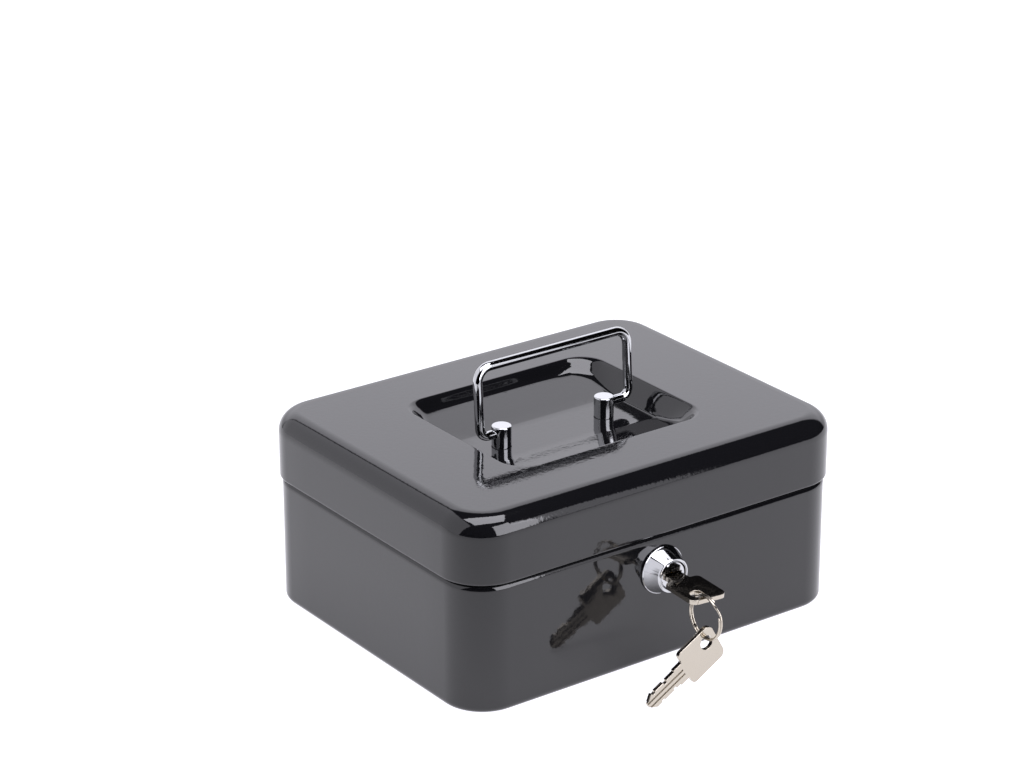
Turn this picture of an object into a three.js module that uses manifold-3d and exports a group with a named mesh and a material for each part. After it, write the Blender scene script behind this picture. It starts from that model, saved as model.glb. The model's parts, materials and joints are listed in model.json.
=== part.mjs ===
// Small enamelled steel cash box: pressed case, overlapping lid with a sunk bail handle,
// cam lock with its key in place, a spare key on a split ring, and a lift-out coin tray.
// Millimetres, +Z up. X runs along the long side and the lock is in the -Y face.
// The origin is the centre of the case's underside.
import * as THREE from "three";
import { mergeVertices } from "three/addons/utils/BufferGeometryUtils.js";
import Module from "manifold-3d";

// ---- Driving dimensions ----
const gap = 0.3; // left between pieces that touch
const sheet = 1; // steel sheet of case and lid

const lidLength = 204; // outside, along X
const lidWidth = 160; // outside, along Y
const topHeight = 90; // lid top above the table
const lidHeight = 30.2; // lid top above the lid's lower edge
const lidCorner = 21; // vertical corner radius of the lid
const lidFillet = 9.2; // lid's top edge
const hemDepth = 6; // lid edge folded back on itself
const caseInset = 1.2; // case wall inside the lid's outline
const caseFillet = 3; // case's bottom edge and shoulder
const neckInset = 2; // neck wall inside the case's outline
const neckHeight = 11; // neck above the shoulder

const recessEnd = 11.3; // bail leg centre to the end of the sunk panel
const recessWidth = 87.8; // sunk panel at the lid top, along Y
const recessDepth = 10;
const recessCorner = 13; // plan radius at the lid top
const recessWall = 59; // degrees from level
const troughWidth = 30; // level middle strip of the recess floor
const floorSlope = 10.4; // degrees, from the strip up to the front and back walls

const postSpacing = 56.2;
const postDiameter = 9;
const postHeight = 9.3; // above the recess floor
const shankDiameter = 5;
const washerDiameter = 10;
const washerThickness = 1;
const wire = 4.2; // bail wire diameter
const legOffset = 12.6; // bail leg centre outside the post's centre
const bailHeight = 31.6; // bar centre above the pivot
const bailBend = 6.5; // wire centre radius at the bar
const footBend = 4.2; // wire centre radius at the feet
const bailShift = 1.2; // the bail sits to one side of its end play
const bailLean = 3.9; // degrees the bail stands back from upright
const footDepth = 3.4; // wire inside each post
const pivotDrop = 3.3; // pivot below the post tops

const lockX = -1;
const bezelOverlap = 2; // bezel past the barrel
const bezelFace = 15.8;
const bezelHeight = 8.2;
const bezelRim = 0.8;
const barrelDiameter = 18;
const barrelLength = 18; // behind the front wall
const plugCover = 0.16; // plug outside the wafers' corners
const nutWall = 3; // nut across flats, past the barrel
const nutClearance = 0.5; // nut below the case's shoulder
const nutThickness = 4;
const studDiameter = 7;
const camLength = 19; // axis to tip
const camWidth = 11;
const camThickness = 1.8;
const screwDiameter = 3;
const screwLength = 8;
const screwHead = 9;
const waferCount = 4;
const waferPitch = 3.6;
const waferThickness = 1;
const waferSide = 0.8; // wafer beside the keyway
const waferLand = 1.4; // wafer above and below the keyway

const keyThickness = 2;
const bowLength = 19.8;
const bowWidth = 18.6;
const bowCorner = 3.2;
const collarLength = 5;
const collarStep = 0.8; // collar past each side of the blade
const bladeLength = 17.4;
const bladeWidth = 7.6;
const tipTaper = 3.4;
const keyHole = 6.5;
const keyHoleEnd = 5.4; // hole centre from the end of the bow
const keyHoleSide = 6.4; // hole centre from the side of the bow
const groove = 1.1; // width of the blade's long grooves
const grooveDepth = 0.45;
const keywayPlay = 0.7; // around the blade
const keyRoll = 3.5; // degrees the inserted key stands off level
const keyDroop = 2.5; // degrees the inserted key sags in its keyway

const ringRadius = 9.74; // wire centre
const ringWire = 1;
const ringWidth = 2.1; // two coils side by side
const tableGap = 0.5; // under the spare key's tip

const trayClearance = 1.8; // to the neck
const trayWall = 1.8;
const trayDepth = 28;
const traySink = 4.5; // tray below the top of the neck
const trayCorner = 15;
const pocketCorner = 12;
const pocketFillet = 1.5; // around each pocket's floor
const notchLeft = 16; // tray notch around the lock, from the lock's axis
const notchRight = 30;
const notchDepth = 24; // from the tray's front edge
const restEnd = 9; // tray rest short of each end of the flat wall
const restWidth = 7;
const restHeight = 9;

const hingeOffset = 60; // hinge centres from the middle
const hingeLength = 30;
const barrelRadius = 1.7;
const hingePin = 1.8;
const leafThickness = 1;
const leafHeight = 13;

const strikeWidth = 10;
const strikeSheet = 1.5;
const strikeFoot = 7; // length of the hook under the cam
const strikeClearance = 1; // beside the lock's barrel

// ---- Sizes that follow ----
const rimHeight = topHeight - lidHeight; // lower edge of the lid
const lidWall = lidWidth / 2; // front and back faces of the lid
const caseLength = lidLength - 2 * caseInset;
const caseWidth = lidWidth - 2 * caseInset;
const caseCorner = lidCorner - caseInset;
const caseWall = caseWidth / 2;
const shoulder = rimHeight - gap;
const neckLength = caseLength - 2 * neckInset;
const neckWidth = caseWidth - 2 * neckInset;
const neckCorner = caseCorner - neckInset;
const neckTop = shoulder + neckHeight;
const bailWidth = postSpacing + 2 * legOffset; // between leg centres
const recessLength = bailWidth + 2 * recessEnd; // sunk panel at the lid top, along X
const recessFloor = topHeight - recessDepth;
const postTop = recessFloor + gap + postHeight;
const pivotZ = postTop - pivotDrop;
const hingeY = lidWall + gap + barrelRadius;
const hingeZ = rimHeight;
const keywayWidth = bladeWidth + 2 * keywayPlay;
const keywayHeight = keyThickness + 2 * keywayPlay;
const waferWidth = keywayWidth + 2 * waferSide;
const waferHeight = keywayHeight + 2 * waferLand;
const plugDiameter = Math.hypot(waferWidth, waferHeight) + 2 * plugCover;
const collarWidth = bladeWidth + 2 * collarStep;
const bezelDiameter = barrelDiameter + 2 * bezelOverlap;
const nutAcross = barrelDiameter + 2 * nutWall;
const lockZ = shoulder - caseFillet - sheet - nutClearance - nutAcross / 2;
const faceY = -(caseWall + gap + bezelHeight); // lock face
const plugFront = faceY + gap;
const barrelEnd = -caseWall + barrelLength;
const camY = barrelEnd + gap; // front face of the cam
const trayTop = neckTop - traySink;
const restLength = caseWidth - 2 * caseCorner - 2 * restEnd;
const rad = THREE.MathUtils.degToRad;
const arcSteps = 3; // facets in an eighth of a turn of an outline

// ---- Finishes ----
const finish = (color, roughness, metalness) =>
  new THREE.MeshStandardMaterial({ color, roughness, metalness });
const enamel = finish(0x101013, 0.08, 0);
const chrome = finish(0xd8dade, 0.06, 1);
const zinc = finish(0xb4b6b8, 0.35, 1);
const nickel = finish(0xcfc6b8, 0.22, 1);
const springSteel = finish(0xc9c7c2, 0.18, 1);
const brass = finish(0xb08d4f, 0.3, 1);
const trayPlastic = finish(0x2a2b2d, 0.5, 0);

// ---- Solids ----
const wasm = await Module();
wasm.setup();

function solid(geometry) {
  const plain = geometry.clone();
  plain.deleteAttribute("normal");
  plain.deleteAttribute("uv");
  const merged = mergeVertices(plain, 1e-4);
  const vertProperties = new Float32Array(merged.getAttribute("position").array);
  const triVerts = new Uint32Array(merged.index.array);
  return new wasm.Manifold(new wasm.Mesh({ numProp: 3, vertProperties, triVerts }));
}

function geometryOf(body) {
  const { vertProperties, triVerts } = body.getMesh();
  const geometry = new THREE.BufferGeometry();
  geometry.setAttribute("position", new THREE.BufferAttribute(vertProperties, 3));
  geometry.setIndex(new THREE.BufferAttribute(triVerts, 1));
  geometry.computeVertexNormals();
  return geometry;
}

const join = (first, ...others) => others.reduce((all, next) => all.add(next), first);
const cut = (first, ...others) => others.reduce((all, next) => all.subtract(next), first);

function mesh(name, body, material) {
  const made = new THREE.Mesh(geometryOf(body), material);
  made.name = name;
  return made;
}

function box([x0, x1], [y0, y1], [z0, z1]) {
  const geometry = new THREE.BoxGeometry(x1 - x0, y1 - y0, z1 - z0);
  return solid(geometry.translate((x0 + x1) / 2, (y0 + y1) / 2, (z0 + z1) / 2));
}

// A rod from one value to another along "x", "y" or "z", centred on a point of the other two.
function rod(axis, radius, [from, to], [a, b], sides = 20) {
  const geometry = new THREE.CylinderGeometry(radius, radius, to - from, sides);
  geometry.translate(0, (from + to) / 2, 0);
  if (axis === "x") geometry.rotateZ(-Math.PI / 2).translate(0, a, b);
  if (axis === "y") geometry.translate(a, 0, b);
  if (axis === "z") geometry.rotateX(Math.PI / 2).translate(a, b, 0);
  return solid(geometry);
}

// A turned piece from points [radius, height], with the height along +Z.
function turned(points, sides = 32) {
  const profile = points.map(([radius, height]) => new THREE.Vector2(radius, height));
  return solid(new THREE.LatheGeometry(profile, sides).rotateX(Math.PI / 2));
}

// A turned piece whose profile height runs along +Y through the lock's axis.
const turnedAtLock = (points, sides) =>
  solid(geometryOf(turned(points, sides)).rotateX(-Math.PI / 2).translate(lockX, 0, lockZ));

function roundedRect(length, width, radius) {
  const [x, y, r] = [length / 2, width / 2, radius];
  return new THREE.Shape()
    .moveTo(x, r - y)
    .lineTo(x, y - r)
    .absarc(x - r, y - r, r, 0, Math.PI / 2)
    .lineTo(r - x, y)
    .absarc(r - x, y - r, r, Math.PI / 2, Math.PI)
    .lineTo(-x, r - y)
    .absarc(r - x, r - y, r, Math.PI, 1.5 * Math.PI)
    .lineTo(x - r, -y)
    .absarc(x - r, r - y, r, 1.5 * Math.PI, 2 * Math.PI);
}

function slab(length, width, radius, [z0, z1], [x, y] = [0, 0]) {
  const shape = roundedRect(length, width, radius);
  const options = { depth: z1 - z0, bevelEnabled: false, curveSegments: arcSteps };
  return solid(new THREE.ExtrudeGeometry(shape, options).translate(x, y, z0));
}

// A slab whose top and bottom edges are rounded by a fillet, or tapered with one segment.
function softSlab(length, width, radius, [z0, z1], fillet, segments = 3, rise = fillet) {
  const inner = Math.max(radius - fillet, 0.5);
  const shape = roundedRect(length - 2 * fillet, width - 2 * fillet, inner);
  const options = {
    depth: z1 - z0 - 2 * rise,
    bevelSize: fillet,
    bevelThickness: rise,
    bevelSegments: segments,
    curveSegments: arcSteps,
  };
  return solid(new THREE.ExtrudeGeometry(shape, options).translate(0, 0, z0 + rise));
}

// ---- Case ----
function caseShell() {
  const [inLength, inWidth] = [caseLength - 2 * sheet, caseWidth - 2 * sheet];
  const [throatLength, throatWidth] = [neckLength - 2 * sheet, neckWidth - 2 * sheet];
  const outside = join(
    softSlab(caseLength, caseWidth, caseCorner, [0, shoulder], caseFillet),
    slab(neckLength, neckWidth, neckCorner, [shoulder - caseFillet - sheet, neckTop]),
  );
  const lower = [sheet, shoulder - sheet];
  const lockHole = rod("y", barrelDiameter / 2 + gap, [-lidWall, -caseWall + 10], [lockX, lockZ], 32);
  return cut(
    outside,
    softSlab(inLength, inWidth, caseCorner - sheet, lower, caseFillet - sheet),
    slab(throatLength, throatWidth, neckCorner - sheet, [shoulder - 2 * caseFillet, neckTop + sheet]),
    lockHole,
  );
}

// Angle strips that carry the coin tray; side is -1 on the left and 1 on the right.
function trayRest(side) {
  const wall = caseLength / 2 - sheet - gap;
  const top = trayTop - trayDepth - gap;
  const along = [-restLength / 2, restLength / 2];
  const span = (a, b) => [Math.min(side * a, side * b), Math.max(side * a, side * b)];
  return join(
    box(span(wall - sheet, wall), along, [top - restHeight, top]),
    box(span(wall - restWidth, wall), along, [top - sheet, top]),
  );
}

// ---- Lid ----
// The hollow over the recess, or the same hollow grown by the sheet's thickness.
function recess(grow) {
  const wall = rad(recessWall);
  const slope = rad(floorSlope);
  const taper = recessDepth / Math.tan(wall);
  const side = (2 * grow) / Math.sin(wall);
  const depth = recessDepth + grow;
  const run = taper + grow / Math.tan(wall);
  const tapered = softSlab(
    recessLength + side,
    recessWidth + side,
    recessCorner + side / 2,
    [topHeight - depth, topHeight + 2 * depth],
    run,
    1,
    depth,
  );
  const reach = recessWidth;
  const bend = troughWidth / 2 + grow * Math.tan(slope / 2);
  const low = recessFloor - grow;
  const high = low + (reach - bend) * Math.tan(slope);
  const profile = new THREE.Shape()
    .moveTo(-reach, 2 * topHeight)
    .lineTo(-reach, high)
    .lineTo(-bend, low)
    .lineTo(bend, low)
    .lineTo(reach, high)
    .lineTo(reach, 2 * topHeight);
  const options = { depth: 2 * recessLength, bevelEnabled: false };
  const trough = new THREE.ExtrudeGeometry(profile, options)
    .rotateX(Math.PI / 2)
    .rotateZ(Math.PI / 2)
    .translate(-recessLength, 0, 0);
  return tapered.intersect(solid(trough));
}

function lidShell() {
  const below = rimHeight - 2 * lidFillet;
  const outside = softSlab(lidLength, lidWidth, lidCorner, [below, topHeight], lidFillet, 5);
  const [inLength, inWidth, inCorner] = [lidLength, lidWidth, lidCorner].map((size, i) =>
    i < 2 ? size - 2 * sheet : size - sheet,
  );
  const inside = softSlab(
    inLength,
    inWidth,
    inCorner,
    [below - sheet, topHeight - sheet],
    lidFillet - sheet,
    5,
  );
  const hem = cut(
    slab(inLength + sheet, inWidth + sheet, inCorner + sheet / 2, [rimHeight, rimHeight + hemDepth]),
    slab(inLength - 2 * sheet, inWidth - 2 * sheet, inCorner - sheet, [below, topHeight]),
  );
  const trim = box([-lidLength, lidLength], [-lidWidth, lidWidth], [0, rimHeight]);
  const holes = [-1, 1].map((side) =>
    rod("z", shankDiameter / 2 + gap, [0, topHeight], [(side * postSpacing) / 2, 0], 16),
  );
  const panel = recess(sheet).intersect(outside);
  return cut(join(cut(outside, inside, trim), hem, panel), recess(0), ...holes);
}

// Post that holds one end of the bail, riveted through the recess floor.
function handlePost(side) {
  const [radius, shank, head] = [postDiameter / 2, shankDiameter / 2, shankDiameter / 2 + 1.1];
  const foot = recessFloor + gap;
  const seat = recessFloor - sheet - gap - washerThickness - gap;
  const post = turned(
    [
      [0, seat - 1.5],
      [head - 0.5, seat - 1.5],
      [head, seat - 1],
      [head, seat],
      [shank, seat],
      [shank, foot],
      [radius, foot],
      [radius, postTop - 0.4],
      [radius - 0.4, postTop],
      [0, postTop],
    ],
    24,
  );
  const reach = Math.abs(side * bailShift) + footDepth + gap;
  const hole = rod("x", wire / 2 + gap, [radius - reach, radius + 1], [0, pivotZ], 16);
  const turn = side < 0 ? Math.PI : 0;
  return solid(
    geometryOf(cut(post, hole))
      .rotateZ(turn)
      .translate((side * postSpacing) / 2, 0, 0),
  );
}

function postWasher(side) {
  const top = recessFloor - sheet - gap;
  const at = [(side * postSpacing) / 2, 0];
  return cut(
    rod("z", washerDiameter / 2, [top - washerThickness, top], at),
    rod("z", shankDiameter / 2 + gap, [0, topHeight], at, 16),
  );
}

// Wire bail about its own pivot: feet turned in towards the posts.
function bailWire() {
  const half = bailWidth / 2;
  const foot = postSpacing / 2 + postDiameter / 2 - footDepth;
  const at = (x, z) => new THREE.Vector3(x, 0, z);
  const path = new THREE.CurvePath();
  const bend = (from, corner, to) => path.add(new THREE.QuadraticBezierCurve3(from, corner, to));
  const line = (from, to) => path.add(new THREE.LineCurve3(from, to));
  line(at(-foot, 0), at(footBend - half, 0));
  bend(at(footBend - half, 0), at(-half, 0), at(-half, footBend));
  line(at(-half, footBend), at(-half, bailHeight - bailBend));
  bend(at(-half, bailHeight - bailBend), at(-half, bailHeight), at(bailBend - half, bailHeight));
  line(at(bailBend - half, bailHeight), at(half - bailBend, bailHeight));
  bend(at(half - bailBend, bailHeight), at(half, bailHeight), at(half, bailHeight - bailBend));
  line(at(half, bailHeight - bailBend), at(half, footBend));
  bend(at(half, footBend), at(half, 0), at(half - footBend, 0));
  line(at(half - footBend, 0), at(foot, 0));
  const section = new THREE.Shape().absarc(0, 0, wire / 2, 0, 2 * Math.PI);
  const options = { extrudePath: path, steps: 56, curveSegments: 5 };
  return solid(new THREE.ExtrudeGeometry(section, options));
}

// Bent strip on the lid that the cam hooks over.
function strikeBracket() {
  const start = lockX + barrelDiameter / 2 + strikeClearance;
  const x = [start, start + strikeWidth];
  const wall = -lidWall + sheet + gap;
  const drop = camY - gap - strikeSheet; // front face of the hanging strip
  const web = neckTop + 2 * gap + sheet;
  const top = topHeight - lidFillet - gap;
  const foot = lockZ - camWidth / 2 - 2 * gap;
  return join(
    box(x, [wall, wall + strikeSheet], [web, top]),
    box(x, [wall, drop + strikeSheet], [web, web + strikeSheet]),
    box(x, [drop, drop + strikeSheet], [foot - strikeSheet, web + strikeSheet]),
    box(x, [drop, drop + strikeFoot], [foot - strikeSheet, foot]),
  );
}

// ---- Hinges ----
// Knuckles on the hinge axis, each a span along X from the hinge's centre.
function knuckles(centre, spans) {
  return spans.map(([from, to]) =>
    rod("x", barrelRadius, [centre + from, centre + to], [hingeY, hingeZ]),
  );
}

const pinBore = (centre) =>
  rod("x", hingePin / 2 + gap, [centre - hingeLength, centre + hingeLength], [hingeY, hingeZ], 16);

const middleKnuckle = hingeLength / 5;

function caseLeaf(side) {
  const centre = side * hingeOffset;
  const [half, inner] = [hingeLength / 2, middleKnuckle + gap];
  const plateY = [caseWall + gap, caseWall + gap + leafThickness];
  const top = hingeZ - barrelRadius + leafThickness / 2;
  const spans = [
    [-half, -inner],
    [inner, half],
  ];
  const plate = box([centre - half, centre + half], plateY, [top - leafHeight, top - leafThickness]);
  const webs = spans.map(([from, to]) =>
    box([centre + from, centre + to], [plateY[0], hingeY], [top - 2 * leafThickness, top]),
  );
  return cut(join(plate, ...webs, ...knuckles(centre, spans)), pinBore(centre));
}

function lidLeaf(side) {
  const centre = side * hingeOffset;
  const half = hingeLength / 2;
  const plateY = [lidWall + gap, lidWall + gap + leafThickness];
  const bottom = hingeZ + barrelRadius + gap;
  const span = [centre - middleKnuckle, centre + middleKnuckle];
  return cut(
    join(
      box([centre - half, centre + half], plateY, [bottom, bottom + leafHeight]),
      box(span, plateY, [hingeZ, bottom + leafThickness]),
      ...knuckles(centre, [[-middleKnuckle, middleKnuckle]]),
    ),
    pinBore(centre),
  );
}

function hingePinRod(side) {
  const centre = side * hingeOffset;
  const end = hingeLength / 2 + gap;
  const at = [hingeY, hingeZ];
  return join(
    rod("x", hingePin / 2, [centre - end - 0.5, centre + end + 0.5], at, 16),
    rod("x", hingePin / 2 + 0.5, [centre - end - 0.9, centre - end], at, 16),
    rod("x", hingePin / 2 + 0.5, [centre + end, centre + end + 0.9], at, 16),
  );
}

// ---- Lock ----
function lockHousing() {
  const [bore, barrel] = [plugDiameter / 2 + gap, barrelDiameter / 2];
  const seat = -caseWall - gap;
  return turnedAtLock([
    [bore, faceY],
    [bezelFace / 2 - 0.4, faceY],
    [bezelFace / 2, faceY + 0.4],
    [bezelDiameter / 2, seat - bezelRim],
    [bezelDiameter / 2, seat],
    [barrel, seat],
    [barrel, barrelEnd],
    [bore, barrelEnd],
    [bore, faceY],
  ]);
}

function lockNut() {
  const inner = -caseWall + sheet + gap;
  const hexagon = new THREE.CylinderGeometry(1, 1, nutThickness, 6);
  const across = nutAcross / Math.sqrt(3);
  hexagon.scale(across, 1, across).translate(lockX, inner + nutThickness / 2, lockZ);
  const hole = rod("y", barrelDiameter / 2 + gap, [-lidWall, 0], [lockX, lockZ], 32);
  return cut(solid(hexagon), hole);
}

const waferY = (i) => plugFront + 3.2 + i * waferPitch;
const keywayDepth = bladeLength + 2 * gap + 0.8;
const acrossLock = (half, [y0, y1], high) =>
  box([lockX - half, lockX + half], [y0, y1], [lockZ - high, lockZ + high]);

function lockPlug() {
  const radius = plugDiameter / 2;
  const body = turnedAtLock(
    [
      [0, plugFront],
      [radius - 0.3, plugFront],
      [radius, plugFront + 0.3],
      [radius, barrelEnd],
      [studDiameter / 2, barrelEnd],
      [studDiameter / 2, camY + camThickness],
      [0, camY + camThickness],
    ],
    28,
  );
  const front = [plugFront - 1, plugFront + keywayDepth];
  const slots = Array.from({ length: waferCount }, (_, i) =>
    acrossLock(
      waferWidth / 2 + gap,
      [waferY(i) - gap, waferY(i) + waferThickness + gap],
      waferHeight / 2 + gap,
    ),
  );
  const back = camY + camThickness;
  const tapped = rod(
    "y",
    screwDiameter / 2 + gap,
    [back - screwLength, back + 1],
    [lockX, lockZ],
    16,
  );
  return cut(body, acrossLock(keywayWidth / 2, front, keywayHeight / 2), ...slots, tapped);
}

function wafer(i) {
  const span = [waferY(i), waferY(i) + waferThickness];
  return cut(
    acrossLock(waferWidth / 2, span, waferHeight / 2),
    acrossLock(keywayWidth / 2, [span[0] - 1, span[1] + 1], keywayHeight / 2),
  );
}

// Flat cam that points up when the lid is free and to the right when it is locked.
function lockCam() {
  const half = camWidth / 2;
  const shape = new THREE.Shape()
    .moveTo(half, 0)
    .lineTo(half - 1.5, camLength)
    .lineTo(1.5 - half, camLength)
    .lineTo(-half, 0)
    .absarc(0, 0, half, Math.PI, 2 * Math.PI);
  shape.holes.push(new THREE.Path().absarc(0, 0, studDiameter / 2 + gap, 0, 2 * Math.PI));
  const options = { depth: camThickness, bevelEnabled: false, curveSegments: 12 };
  const plate = new THREE.ExtrudeGeometry(shape, options).rotateX(Math.PI / 2);
  return solid(plate.translate(lockX, camY + camThickness, lockZ));
}

function camScrew() {
  const back = camY + camThickness;
  return turnedAtLock(
    [
      [0, back - screwLength + gap],
      [screwDiameter / 2, back - screwLength + gap],
      [screwDiameter / 2, back + gap],
      [screwHead / 2, back + gap],
      [screwHead / 2, back + gap + 1.2],
      [screwHead / 2 - 0.5, back + gap + 1.7],
      [0, back + gap + 1.7],
    ],
    20,
  );
}

// ---- Keys and ring ----
// Key with its hole at the origin: X across, +Y towards the tip, thickness centred on Z.
const keyAxisX = bowWidth / 2 - keyHoleSide; // blade axis from the hole
const bowEnd = -keyHoleEnd;
const bowFront = bowEnd + bowLength;
const bladeStart = bowFront + collarLength;
const keyTip = bladeStart + bladeLength;

function keyBody() {
  const z = [-keyThickness / 2, keyThickness / 2];
  const bow = slab(bowWidth, bowLength, bowCorner, z, [keyAxisX, (bowEnd + bowFront) / 2]);
  const blade = [keyAxisX - bladeWidth / 2, keyAxisX + bladeWidth / 2];
  const collar = [keyAxisX - collarWidth / 2, keyAxisX + collarWidth / 2];
  const outline = new THREE.Shape()
    .moveTo(collar[1], bowFront - 1)
    .lineTo(collar[1], bladeStart)
    .lineTo(blade[1], bladeStart)
    .lineTo(blade[1], keyTip - tipTaper)
    .lineTo(keyAxisX + 1, keyTip)
    .lineTo(keyAxisX - 1, keyTip)
    .lineTo(blade[0], keyTip - tipTaper)
    .lineTo(blade[0], bladeStart)
    .lineTo(collar[0], bladeStart)
    .lineTo(collar[0], bowFront - 1);
  const options = { depth: keyThickness, bevelEnabled: false };
  const shank = new THREE.ExtrudeGeometry(outline, options).translate(0, 0, -keyThickness / 2);
  const grooveSpan = [bladeStart - collarLength + 1, keyTip + 1];
  const grooves = [-1.5, 1.5].map((offset) =>
    box(
      [keyAxisX + offset - groove / 2, keyAxisX + offset + groove / 2],
      grooveSpan,
      [keyThickness / 2 - grooveDepth, keyThickness],
    ),
  );
  // wafer cuts, of a depth that changes from one to the next, on both edges
  const cuts = Array.from({ length: waferCount }, (_, i) => {
    const depth = 0.5 + 0.45 * ((i * 2) % 3);
    const y = [bladeStart + 2.2 + i * waferPitch, bladeStart + 4 + i * waferPitch];
    const edge = i % 2 ? blade[0] : blade[1];
    return box([edge - depth, edge + depth], y, [-keyThickness, keyThickness]);
  });
  const hole = rod("z", keyHole / 2, [-keyThickness, keyThickness], [0, 0], 24);
  return cut(join(bow, solid(shank)), hole, ...grooves, ...cuts);
}

function splitRing() {
  const [inner, outer] = [ringRadius - ringWire / 2, ringRadius + ringWire / 2];
  const [half, soft] = [ringWidth / 2, 0.3];
  const ring = turned(
    [
      [inner, soft - half],
      [inner + soft, -half],
      [outer - soft, -half],
      [outer, soft - half],
      [outer, half - soft],
      [outer - soft, half],
      [inner + soft, half],
      [inner, half - soft],
      [inner, soft - half],
    ],
    40,
  );
  return solid(geometryOf(ring).rotateY(Math.PI / 2));
}

// ---- Coin tray ----
const trayLength = neckLength - 2 * sheet - 2 * trayClearance;
const trayWidth = neckWidth - 2 * sheet - 2 * trayClearance;

function coinTray() {
  const floor = trayTop - trayDepth;
  const [left, right] = [-trayLength / 2 + trayWall, trayLength / 2 - trayWall];
  const [front, back] = [-trayWidth / 2 + trayWall, trayWidth / 2 - trayWall];
  const notch = [lockX - notchLeft, lockX + notchRight];
  const notchBack = -trayWidth / 2 + notchDepth;
  const middle = 4;
  const half = trayWall / 2;
  const depth = [floor + trayWall, trayTop + pocketCorner];
  const pocket = ([x0, x1], [y0, y1]) => {
    const block = geometryOf(
      softSlab(x1 - x0, y1 - y0, pocketCorner, depth, pocketFillet, 2),
    );
    return solid(block.translate((x0 + x1) / 2, (y0 + y1) / 2, 0));
  };
  const frontRow = [front, middle - half];
  const backRow = [middle + half, back];
  const third = (right - left - 2 * trayWall) / 3;
  const pockets = [
    pocket([left, notch[0] - trayWall], frontRow),
    pocket([notch[1] + trayWall, right], frontRow),
    pocket([notch[0] + half, notch[1] - half], [notchBack + trayWall, middle - half]),
    ...[0, 1, 2].map((i) => {
      const from = left + i * (third + trayWall);
      return pocket([from, from + third], backRow);
    }),
  ];
  return cut(
    slab(trayLength, trayWidth, trayCorner, [floor, trayTop]),
    box(notch, [-trayWidth, notchBack], [0, topHeight]),
    ...pockets,
  );
}

// ---- Assembly ----
const cashBox = new THREE.Group();
const sides = { left: -1, right: 1 };

cashBox.add(mesh("case_shell", caseShell(), enamel));
cashBox.add(mesh("lid_shell", lidShell(), enamel));
for (const [name, side] of Object.entries(sides)) {
  cashBox.add(
    mesh(`tray_rest_${name}`, trayRest(side), zinc),
    mesh(`handle_post_${name}`, handlePost(side), chrome),
    mesh(`post_washer_${name}`, postWasher(side), zinc),
    mesh(`hinge_leaf_case_${name}`, caseLeaf(side), enamel),
    mesh(`hinge_leaf_lid_${name}`, lidLeaf(side), enamel),
    mesh(`hinge_pin_${name}`, hingePinRod(side), zinc),
  );
}
cashBox.add(mesh("strike_bracket", strikeBracket(), zinc));
cashBox.add(mesh("coin_tray", coinTray(), trayPlastic));

const bail = new THREE.Group();
bail.position.set(bailShift, 0, pivotZ);
bail.rotation.x = -rad(bailLean);
bail.add(mesh("bail_handle", bailWire(), chrome));
cashBox.add(bail);

cashBox.add(mesh("lock_housing", lockHousing(), chrome));
cashBox.add(mesh("lock_nut", lockNut(), zinc));

// The plug and what turns with it stand a few degrees off level about the lock's axis.
const plug = new THREE.Group();
plug.position.set(lockX, 0, lockZ);
plug.rotation.y = rad(keyRoll);
const onPlug = new THREE.Group();
onPlug.position.set(-lockX, 0, -lockZ);
plug.add(onPlug);
onPlug.add(mesh("lock_plug", lockPlug(), chrome));
onPlug.add(mesh("lock_cam", lockCam(), zinc));
onPlug.add(mesh("cam_screw", camScrew(), zinc));
for (let i = 0; i < waferCount; i += 1) {
  onPlug.add(mesh(`wafer_${i + 1}`, wafer(i), brass));
}
cashBox.add(plug);

// The inserted key sags about the middle of its blade, with its collar just off the plug.
const sagAt = bladeLength / 2;
const keyInLock = new THREE.Group();
keyInLock.position.set(0, plugFront - gap + sagAt, 0);
keyInLock.rotation.x = rad(keyDroop);
const insertedKey = mesh("key_in_lock", keyBody(), nickel);
insertedKey.position.set(-keyAxisX, -bladeStart - sagAt, 0);
keyInLock.add(insertedKey);
plug.add(keyInLock);

// The ring hangs over the end strip of the bow. Its wire slopes through the hole from the top
// face to the bottom one, so it is set back by the mean of where it crosses them.
cashBox.updateMatrixWorld(true);
const hole = insertedKey.localToWorld(new THREE.Vector3(0, 0, 0));
const strip = insertedKey.localToWorld(new THREE.Vector3(0, (bowEnd - keyHole / 2) / 2, 0));
const [ringInner, ringOuter] = [ringRadius - ringWire / 2, ringRadius + ringWire / 2];
const hang = ringInner - 3 * gap; // top face of the bow above the ring's centre
const crossings = [
  Math.sqrt(ringInner ** 2 - hang ** 2),
  Math.sqrt(ringOuter ** 2 - (hang - keyThickness) ** 2),
];
const ringY = hole.y - (crossings[0] + crossings[1]) / 2;
const hangZ = strip.z + keyThickness / 2 - hang;
const ring = mesh("split_ring", splitRing(), springSteel);
ring.position.set(hole.x, ringY, hangZ);
cashBox.add(ring);

// The spare key hangs from the ring's lowest point and its tip rests just off the table, so
// its lean follows from the corner of the tip that comes down first.
const play = keyHole / 2 - Math.hypot(ringWidth, ringWire) / 2 - gap;
const drop = hangZ - ringRadius - play - tableGap;
const tipCorners = [
  [keyAxisX + 1, keyTip],
  [keyAxisX + bladeWidth / 2, keyTip - tipTaper],
];
const leans = tipCorners.map(([x, y]) => {
  const reach = Math.hypot(x, y);
  return Math.atan2(x, y) + Math.acos(Math.min(1, drop / reach));
});
const spareLean = Math.max(...leans);
const spare = new THREE.Group();
spare.position.set(hole.x, ringY, hangZ - ringRadius);
spare.rotation.y = spareLean;
const spareKey = mesh("spare_key", keyBody(), nickel);
spareKey.rotation.x = -Math.PI / 2;
spareKey.position.set(play * Math.sin(spareLean), 0, -play * Math.cos(spareLean));
spare.add(spareKey);
cashBox.add(spare);

export default cashBox;
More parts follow.
